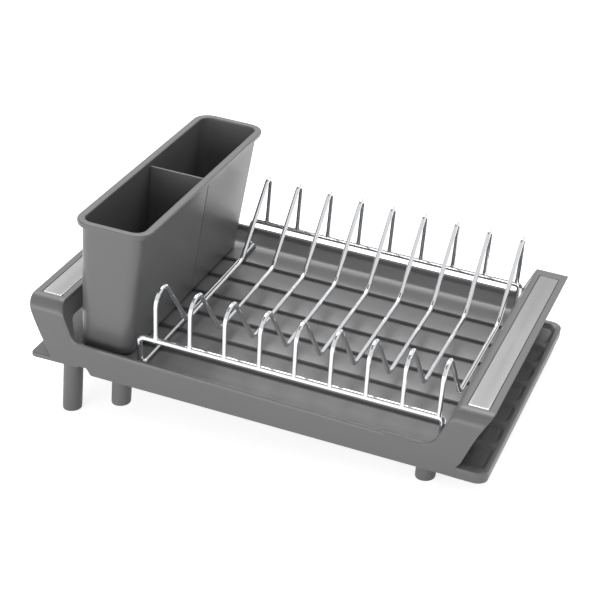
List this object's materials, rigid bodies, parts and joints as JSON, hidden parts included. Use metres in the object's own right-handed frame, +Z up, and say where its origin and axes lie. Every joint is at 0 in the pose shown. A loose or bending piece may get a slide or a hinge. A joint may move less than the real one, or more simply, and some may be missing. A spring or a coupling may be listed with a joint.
{
  "type": "expandable dish rack",
  "caption": "Expandable dish rack: sloping grey body with bridge handles, a drip tray that slides out from under it, a lift-out chrome plate rack and a utensil holder with a divider.",
  "frame": {"origin": "on the counter, under the middle of the overall box", "axes": "+X along the length towards the low end, where the tray slides out; +Y towards the back; +Z up"},
  "size_m": [0.421, 0.286, 0.1924],
  "materials": {
    "body_plastic": "fine moulded texture",
    "holder_plastic": "fine moulded texture",
    "tray_plastic": "satin moulded",
    "foot_plastic": "satin moulded",
    "inlay_steel": "brushed along its length",
    "rack_wire": "bright chrome plate"
  },
  "bodies": {
    "upper_body": {"body": "body_plastic", "inlay_left": "inlay_steel", "inlay_right": "inlay_steel", "body_foot_front": "foot_plastic", "body_foot_back": "foot_plastic"},
    "tray_body": {"tray": "tray_plastic", "tray_foot_left_front": "foot_plastic", "tray_foot_left_back": "foot_plastic", "tray_foot_right_front": "foot_plastic", "tray_foot_right_back": "foot_plastic"},
    "rack_body": {"rack_front_rail": "rack_wire", "rack_back_rail": "rack_wire", "rack_left_end": "rack_wire", "rack_right_end": "rack_wire", "plate_wire_1": "rack_wire", "plate_wire_2": "rack_wire", "plate_wire_3": "rack_wire", "plate_wire_4": "rack_wire", "plate_wire_5": "rack_wire", "plate_wire_6": "rack_wire", "plate_wire_7": "rack_wire", "plate_wire_8": "rack_wire", "plate_wire_9": "rack_wire"},
    "holder_body": {"utensil_holder": "holder_plastic"},
    "divider_body": {"utensil_divider": "holder_plastic"}
  },
  "joints": [
    {"name": "tray_slide", "type": "slide", "parent": "upper_body", "child": "tray_body", "axis": [0.9956, 0, -0.0941], "range_m": [0, 0.13]},
    {"name": "rack_lift", "type": "slide", "parent": "upper_body", "child": "rack_body", "axis": [0.0941, 0, 0.9956], "range_m": [0, 0.06]},
    {"name": "holder_lift", "type": "slide", "parent": "upper_body", "child": "holder_body", "axis": [0.0941, 0, 0.9956], "range_m": [0, 0.13]},
    {"name": "divider_lift", "type": "slide", "parent": "holder_body", "child": "divider_body", "axis": [0.0941, 0, 0.9956], "range_m": [0, 0.12]}
  ]
}
